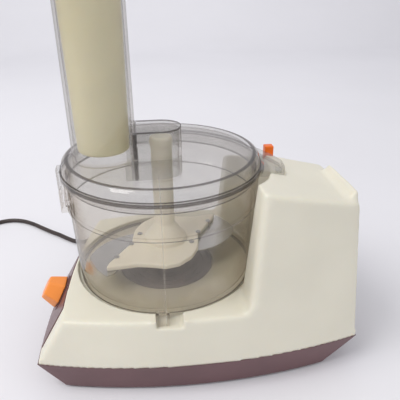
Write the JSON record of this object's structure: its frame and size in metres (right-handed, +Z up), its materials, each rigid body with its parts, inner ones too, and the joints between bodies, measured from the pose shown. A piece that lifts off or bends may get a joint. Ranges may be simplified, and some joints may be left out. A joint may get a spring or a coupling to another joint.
{
  "type": "food processor",
  "caption": "Food processor with a clear bowl and lid on a low base, belt driven from a motor in the tower beside it, with a blade tool, feed tube and pusher.",
  "frame": {"origin": "middle of the base's outline, on the surface that it stands on", "axes": "+Z up, +X towards the tower, -Y the front"},
  "size_m": [0.55, 0.379, 0.368],
  "materials": {
    "cream_plastic": "moulded, satin",
    "brown_plastic": "moulded, satin",
    "rubber": "moulded",
    "screw_steel": "zinc plated",
    "orange_plastic": "moulded, satin",
    "switch_plastic": "moulded",
    "spring_steel": "drawn wire",
    "white_plastic": "moulded",
    "black_plastic": "moulded",
    "lamination": "stacked sheet, oiled",
    "winding": "enamelled copper wire, varnished",
    "zinc_bracket": "die cast",
    "bronze": "sintered",
    "ground_steel": "ground",
    "commutator_copper": "turned copper",
    "zinc_pulley": "turned",
    "belt_rubber": "moulded",
    "ring_plastic": "moulded, ribbed",
    "smoke_clear": "clear, lightly smoked",
    "pusher_plastic": "moulded, satin",
    "ivory_plastic": "moulded, satin",
    "blade_steel": "ground and polished",
    "rivet_steel": "plain",
    "lead_plastic": "sheathed wire",
    "cord_rubber": "sheath, satin",
    "plug_brass": "plain"
  },
  "bodies": {
    "base": {"housing": "cream_plastic", "bottom_tray": "brown_plastic", "foot_front_left": "rubber", "foot_front_right": "rubber", "foot_back_left": "rubber", "foot_back_right": "rubber", "tray_screws": "screw_steel", "rear_cover": "cream_plastic", "rear_cover_screws": "screw_steel", "control_plate": "brown_plastic", "switch_body": "switch_plastic", "button_spring": "spring_steel", "plunger_spring": "spring_steel", "microswitch": "black_plastic", "motor_stator": "lamination", "field_coil_front": "winding", "field_coil_back": "winding", "bracket_lower": "zinc_bracket", "bracket_upper": "zinc_bracket", "bracket_bolts": "screw_steel", "motor_bushes": "bronze", "brush_holders": "bronze", "drive_belt": "belt_rubber", "bearing_housing": "zinc_bracket", "bearing_screws": "screw_steel", "spindle_bushes": "bronze", "spindle_seal": "belt_rubber", "hub_ring": "ring_plastic", "cord_gland": "black_plastic", "switch_lead": "lead_plastic", "motor_lead": "lead_plastic", "power_cord": "cord_rubber", "cord_coil": "cord_rubber", "cord_tail": "cord_rubber", "cord_tie": "black_plastic", "plug_body": "cord_rubber", "plug_blades": "plug_brass"},
    "knob": {"control_knob": "orange_plastic"},
    "button": {"release_button": "orange_plastic"},
    "plunger": {"switch_plunger": "white_plastic"},
    "rotor": {"motor_shaft": "ground_steel", "rotor_core": "lamination", "rotor_winding": "winding", "commutator": "commutator_copper", "cooling_fan": "black_plastic", "motor_pulley": "zinc_pulley"},
    "spindle": {"drive_spindle": "ground_steel", "driven_pulley": "zinc_pulley", "pulley_clip": "spring_steel", "drive_head": "white_plastic"},
    "bowl": {"bowl": "smoke_clear"},
    "tool": {"tool_hub": "ivory_plastic", "blade_lower": "blade_steel", "blade_upper": "blade_steel", "blade_rivets": "rivet_steel"},
    "lid": {"lid": "smoke_clear"},
    "pusher": {"pusher": "pusher_plastic"}
  },
  "joints": [
    {"name": "knob_turn", "type": "hinge", "parent": "base", "child": "knob", "pos_m": [-0.13692, -0.025, 0.066], "axis": [-0.866, 0, 0.5], "range_deg": [-45, 90]},
    {"name": "button_press", "type": "slide", "parent": "base", "child": "button", "axis": [0, 0, -1], "range_m": [0, 0.004], "stiffness_N_per_m": 600, "springref_m": -0.001, "deforming": ["button_spring"]},
    {"name": "plunger_press", "type": "slide", "parent": "base", "child": "plunger", "axis": [0, 0, -1], "range_m": [0, 0.003], "stiffness_N_per_m": 400, "springref_m": -0.001, "deforming": ["plunger_spring"]},
    {"name": "rotor_spin", "type": "hinge", "parent": "base", "child": "rotor", "pos_m": [0.108, 0, 0.1], "axis": [0, 0, 1], "continuous": true},
    {"name": "spindle_spin", "type": "hinge", "parent": "base", "child": "spindle", "pos_m": [-0.028, 0, 0.08], "axis": [0, 0, 1], "continuous": true},
    {"name": "bowl_lift", "type": "slide", "parent": "base", "child": "bowl", "axis": [0, 0, 1], "range_m": [0, 0.1]},
    {"name": "tool_spin", "type": "hinge", "parent": "bowl", "child": "tool", "pos_m": [-0.028, 0, 0.11], "axis": [0, 0, 1], "continuous": true},
    {"name": "lid_lift", "type": "slide", "parent": "bowl", "child": "lid", "axis": [0, 0, 1], "range_m": [0, 0.06]},
    {"name": "pusher_slide", "type": "slide", "parent": "lid", "child": "pusher", "axis": [0, 0, 1], "range_m": [0, 0.148]}
  ],
  "couplings": [
    {"joint": "spindle_spin", "follows": "rotor_spin", "ratio": 0.20455},
    {"joint": "tool_spin", "follows": "rotor_spin", "ratio": 0.20455}
  ]
}
